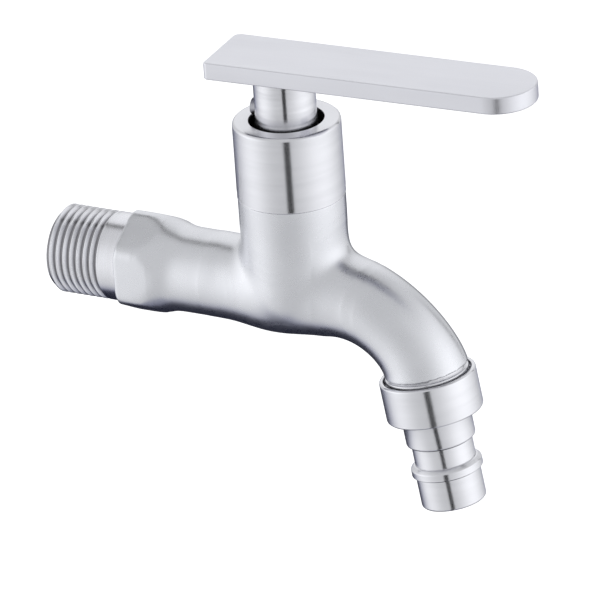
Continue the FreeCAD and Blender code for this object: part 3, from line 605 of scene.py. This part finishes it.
def pipe_thread(length, turns, lead_low, lead_high, plain_from, place):
    """Threaded shank from 0 to a length: turns of one spun profile, thinned at its ends."""
    shape = bmesh.new()
    profile = (
        (crest - 0.07, 0), (crest, 0.07), (crest, 0.27), (crest - 0.07, 0.34), (root + 0.06, 0.8),
        (root, 0.87), (root, 1.28), (root + 0.06, 1.35), (crest - 0.07, pitch),
    )
    line = drawn(shape, [(radius, high - pitch) for radius, high in profile])
    steps = 72  # of each turn
    bmesh.ops.spin(
        shape, geom=line, cent=(0, 0, 0), axis=(0, 0, 1), dvec=(0, 0, pitch / steps),
        angle=2 * math.pi * turns, steps=steps * turns,
    )
    bmesh.ops.remove_doubles(shape, verts=shape.verts, dist=0.002)
    start = root - 0.1
    for vert in shape.verts:
        radius, high = math.hypot(vert.co.x, vert.co.y), vert.co.z
        wanted = min(radius, crest)
        if lead_low:
            wanted = min(wanted, start + max(high, 0) * (crest - start) / lead_low)
        if lead_high:
            wanted = min(wanted, start + max(length - high, 0) * (crest - start) / lead_high)
        if plain_from is not None and high > plain_from:
            wanted = radius + (crest - radius) * min((high - plain_from) / 0.5, 1)
        vert.co.x *= wanted / radius
        vert.co.y *= wanted / radius
    for high, normal in ((0, (0, 0, -1)), (length, (0, 0, 1))):
        cut_off(shape, (0, 0, high), normal)
    bmesh.ops.recalc_face_normals(shape, faces=shape.faces)
    lay_out(shape)
    bmesh.ops.transform(shape, matrix=place @ Matrix.Scale(mm, 4), verts=shape.verts)
    return shape


# the thread's roots are painted grey as shade, with some grime
threaded_steel = brushed(
    "threaded_steel", (0, math.pi / 2, 0), ((0.75, 0.75, 0.775), (0.8, 0.8, 0.83)), (0.24, 0.3), 2e-6,
    root_shade_radii=(9.3 * mm, 10.05 * mm),
)
inlet_length, inlet_bore = 19.1, 6.5
inlet = Matrix.Translation((-inlet_length * mm, 0, 0)) @ lying
shank = pipe_thread(inlet_length + 0.5, 12, 0.55, None, 13.9, inlet)
finish_piece("inlet_thread", shank, threaded_steel, "tap", "cast_steel")
inlet_end = turned_shape(
    [(inlet_bore, 40), (inlet_bore, 0), (9.3, 0), (9.24, 0.3), (9.24, 3)],
    inlet,
    bevels=((0.25, ((inlet_bore, 0),)),),
)
finish_piece("inlet_bore", inlet_end, cast_steel, "tap", "cast_steel")


# Outlet thread. The same thread on the spout's end, mostly hidden in the nut. Above it the
# spout's rim shows as a thin bright ring, with a dark gap to the nut.
at_outlet = Matrix.Translation(outlet) @ Matrix.Rotation(math.pi - outlet_lean, 4, "Y")
below_rim = at_outlet @ Matrix.Translation((0, 0, 1.2 * mm))
shank = pipe_thread(3.1, 3, 0.8, 1.0, None, below_rim)
finish_piece("outlet_thread", shank, cast_steel, "tap", "cast_steel")
leaning_steel = brushed(
    "leaning_steel", (0, math.pi - outlet_lean, 0), ((0.715, 0.715, 0.74), (0.745, 0.745, 0.77)),
    (0.22, 0.26), 1.5e-6,
)
outlet_bore, outlet_end, rim_radius = 6.95, 4.3, 9.9
outlet_neck = turned_shape(
    [
        (outlet_bore, -8), (outlet_bore, outlet_end), (9.25, outlet_end), (9.25, 0.6),
        (rim_radius, 0.4), (rim_radius, -0.5), (9.3, -0.6), (9.3, -1.5),
    ],
    at_outlet,
    bevels=((0.2, ((outlet_bore, outlet_end), (rim_radius, 0.4), (rim_radius, -0.5))),),
)
keep_flats(finish_piece("outlet_neck", outlet_neck, leaning_steel, "tap", "cast_steel"))


# Cap. A turned stainless shroud, brushed on the lathe, that hides the headwork and is
# screwed on it. Its hole shows a black gap round the handle's neck.
turned_steel = brushed(
    "turned_steel", (0, 0, 0), ((0.7, 0.7, 0.725), (0.735, 0.735, 0.76)), (0.22, 0.26), 1.5e-6
)
polished_steel = brushed(
    "polished_steel", (0, 0, 0), ((0.66, 0.66, 0.685), (0.76, 0.76, 0.785)), (0.17, 0.23), 2e-6,
    spread=0.6,
)
cap_radius, cap_bore, cap_hole, cap_top = 12.738, 11.54, 8.9, 42.5
cap = turned_shape(
    [
        (cap_bore, 26), (cap_bore, tower_top), (cap_radius, tower_top), (cap_radius, 23.73),
        (12.62, 23.87), (cap_radius, 25.1), (cap_radius, cap_top), (cap_hole, cap_top), (cap_hole, 41.9),
    ],
    tower,
    bevels=(
        (0.94, ((cap_radius, cap_top),)),
        (0.15, ((cap_hole, cap_top), (cap_bore, tower_top))),
    ),
)
shroud = finish_piece("cap_shroud", cap, turned_steel, "tap", "turned_steel", "cap")
keep_flats(shroud)
shroud.data.materials.append(polished_steel)
for face in shroud.data.polygons:
    if face.normal.z > 0.95 and face.center.z > (cap_top - 0.2) * mm:
        face.material_index = 1
# painted shade: the shroud's inside is coloured nearly black, so that the gap round the handle's neck
# shows black
painted_shade_steel = plain_grain(
    "painted_shade_steel", ((0.02, 0.02, 0.021), (0.035, 0.035, 0.037)), 1, (0.5, 0.65), 1.5, 1e-5
)
cap_inside = turned_shape(
    [
        (cap_hole, 41.9), (cap_hole, 40.5), (cap_bore, 40.5), (cap_bore, 34.8), (9.06, 34.8),
        (9.06, 31.6), (cap_bore, 31.6), (cap_bore, 26),
    ],
    tower,
)
finish_piece("cap_inside", cap_inside, painted_shade_steel, "tap", "turned_steel")


# Handle neck. A slightly tapered turned neck over the spindle, pressed into the lever.
handle_turn = math.radians(3.3)
yawed = tower @ Matrix.Rotation(handle_turn, 4, "Z")
hub_bore, hub_foot, hub_bottom, hub_top = 5.6, 7.48, 36.6, 54.0
hub = turned_shape(
    [
        (hub_bore, 50.0), (hub_bore, hub_bottom), (hub_foot, hub_bottom), (hub_foot, 41.75),
        (7.25, 43.0), (7.2, hub_top), (4.0, hub_top),
    ],
    yawed,
    bevels=(
        (0.3, ((hub_foot, hub_bottom), (hub_bore, hub_bottom), (7.25, 43.0))),
        (0.12, ((7.2, hub_top),)),
    ),
)
keep_flats(finish_piece("handle_neck", hub, polished_steel, "handle", "turned_steel", "handle_hub"))


# Lever. A flat bar with a round front end, brushed along its length by a fine belt, with
# lightly rounded edges.
lever_back, lever_front, lever_width, lever_thickness, lever_top = 16.2, 64.03, 18.66, 4.2, 58.2
lever_centre = Vector(((lever_front - lever_back) / 2, 0, lever_top - lever_thickness / 2))
bar = bmesh.new()
bmesh.ops.create_cube(bar, size=1)
bmesh.ops.scale(bar, vec=(lever_back + lever_front, lever_width, lever_thickness), verts=bar.verts)
bmesh.ops.translate(bar, vec=lever_centre, verts=bar.verts)
# its upright edges: the two of the nose, then the far one and the near one at the back
roundings = ((True, 0, 9.32, 40), (False, 1, 1.8, 8), (False, -1, 1.1, 6))
for in_front, side, width, segments in roundings:
    corners = []
    for edge in bar.edges:
        first, second = (vert.co for vert in edge.verts)
        upright = abs(first.z - second.z) > 1 and abs(first.y) > 9.3
        if upright and (first.x > 20) == in_front and first.y * side >= 0:
            corners.append(edge)
    rounded(bar, corners, width, segments)
level_edges = [edge for edge in bar.edges if abs(edge.verts[0].co.z - edge.verts[1].co.z) < 0.01]
rounded(bar, [edge for edge in level_edges if edge.calc_face_angle(0) > 0.8], 0.36)
layer = bar.loops.layers.uv.new("UVMap")
for face in bar.faces:
    for loop in face.loops:
        loop[layer].uv = (loop.vert.co.x / 80, (loop.vert.co.y + loop.vert.co.z) / 80)
bmesh.ops.transform(bar, matrix=yawed @ Matrix.Scale(mm, 4), verts=bar.verts)
bmesh.ops.recalc_face_normals(bar, faces=bar.faces)
belt_lines = marks_group("belt_lines", (90, 5200, 5200), (50, 1500, 1500), 0.6, (25, 90, 90))
belt_tones = ((0.73, 0.73, 0.765), (0.76, 0.76, 0.795))
belted_steel, tree, shader = metal("belted_steel", (0.68, 0.68, 0.71), 0.32, 0.5)
place = stretched(tree, new_node(tree, "TexCoord").outputs["Object"], turn=(0, 0, handle_turn))
use_marks(tree, shader, belt_lines, place, belt_tones, (0.3, 0.38), 3e-6)
keep_flats(finish_piece("lever_bar", bar, belted_steel, "handle", "turned_steel", "lever"))


# Union nut and hose tail. The nut is a smooth brushed ring on the outlet's thread. It holds
# the flange of the tail, a turned nozzle with a step, a waist and a ring for the hose.
nut_radius, nut_height, nut_thread, nut_hole = 11.498, 9.8, 10.54, 8.53
nut = turned_shape(
    [
        (nut_thread, 0), (nut_radius, 0), (nut_radius, nut_height), (nut_hole, nut_height),
        (nut_hole, 8.1), (nut_thread, 8.1), (nut_thread, 0),
    ],
    at_outlet,
    bevels=(
        (0.5, ((nut_radius, nut_height), (nut_radius, 0))),
        (0.2, ((nut_thread, 0), (nut_hole, nut_height))),
    ),
)
keep_flats(finish_piece("nut_ring", nut, leaning_steel, "nut", "turned_steel", "union_nut"))
tail_bore, tail_end = 5.8, 32.24
under_step, under_ring = (7.22, 16.7), (7.68, 24.35)
tail = turned_shape(
    [
        (tail_bore, 6.6), (10.198, 6.6), (10.198, 8.1), (8.23, 8.1), (8.23, 16.7), under_step,
        (7.22, 21.7), (7.55, 21.7), (8.45, 22.6), (8.45, 24.35), under_ring, (7.68, tail_end),
        (tail_bore, tail_end), (tail_bore, 6.6),
    ],
    at_outlet,
    bevels=(
        (0.6, ((8.23, 16.7), (7.68, tail_end))),
        (0.2, ((7.55, 21.7), (8.45, 22.6), (8.45, 24.35))),
        (0.1, (under_step, under_ring, (tail_bore, tail_end))),
    ),
)
keep_flats(finish_piece("nozzle", tail, leaning_steel, "outlet", "turned_steel", "hose_tail"))
# painted shade: thin nearly black rings in the corners under the step and under the ring
for number, (radius, depth) in enumerate((under_step, under_ring)):
    corner = turned_shape(
        [
            (radius - 0.1, depth - 0.1), (radius + 0.24, depth - 0.1), (radius + 0.24, depth + 0.04),
            (radius + 0.02, depth + 0.32), (radius - 0.1, depth + 0.32), (radius - 0.1, depth - 0.1),
        ],
        at_outlet,
    )
    finish_piece(f"nozzle_corner_{number + 1}", corner, painted_shade_steel, "outlet", "turned_steel")


# Inner parts. Brass headwork and spindle, ceramic discs, rubber rings and washers, and the
# plastic sleeve and glide washer: they keep their CAD shapes and show in the gaps only.
brass = plain_grain("brass", ((0.32, 0.22, 0.1), (0.5, 0.36, 0.17)), 1, (0.3, 0.5), 1.5, 2e-5)
ceramic = plain_grain("ceramic", ((0.8, 0.79, 0.75), (0.85, 0.84, 0.8)), 0, (0.15, 0.25), 2, 5e-6)
rubber = plain_grain("rubber", ((0.02, 0.02, 0.021), (0.03, 0.03, 0.032)), 0, (0.5, 0.7), 2, 2e-5)
sleeve = plain_grain(
    "sleeve_plastic", ((0.03, 0.03, 0.032), (0.045, 0.045, 0.047)), 0, (0.35, 0.5), 1, 2e-5
)
screw_steel = plain_grain(
    "screw_steel", ((0.4, 0.4, 0.43), (0.5, 0.5, 0.53)), 1, (0.25, 0.38), 2, 1e-5
)
finishes = {
    "headwork_body": brass,
    "spindle": brass,
    "headwork_seal": rubber,
    "cap_ring": rubber,
    "spindle_seal_lower": rubber,
    "spindle_seal_upper": rubber,
    "seat_seal": rubber,
    "outlet_washer": rubber,
    "thrust_washer": sleeve,
    "spline_insert": sleeve,
    "fixed_disc": ceramic,
    "moving_disc": ceramic,
    "grub_screw": screw_steel,
    "spindle_clip": screw_steel,
}
for name, material in finishes.items():
    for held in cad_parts[name].material_slots:
        held.material = material
